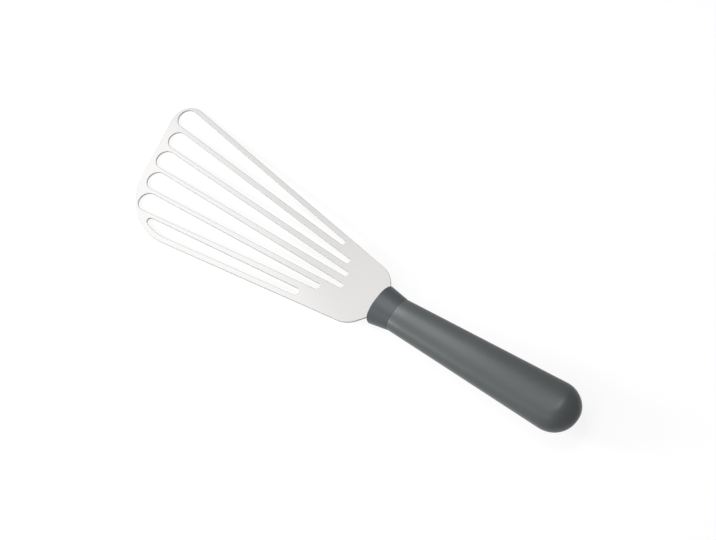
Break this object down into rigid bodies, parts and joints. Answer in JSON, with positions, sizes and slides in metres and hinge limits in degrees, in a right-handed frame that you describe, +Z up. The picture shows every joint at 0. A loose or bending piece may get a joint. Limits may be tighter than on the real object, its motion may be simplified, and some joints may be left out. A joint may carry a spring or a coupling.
{
  "type": "cookie spatula",
  "caption": "Thin flared steel blade with a slanted front and a fan of long slots, on a tapered oval plastic handle, for lifting cookies off a baking sheet.",
  "frame": {"origin": "on the worktop, under the middle of the tool's box, as it lies on the collar's rim and the blade's tip", "axes": "+X from the handle to the blade's front, +Y to the blade's short side, +Z up from the worktop"},
  "size_m": [0.277, 0.0688, 0.0187],
  "materials": {
    "blade_steel": "satin polished stainless sheet",
    "core_plastic": "hard moulded, fine satin texture",
    "grip_plastic": "matt moulded"
  },
  "bodies": {
    "root": {"blade": "blade_steel", "handle_core": "core_plastic", "grip": "grip_plastic"}
  },
  "joints": []
}
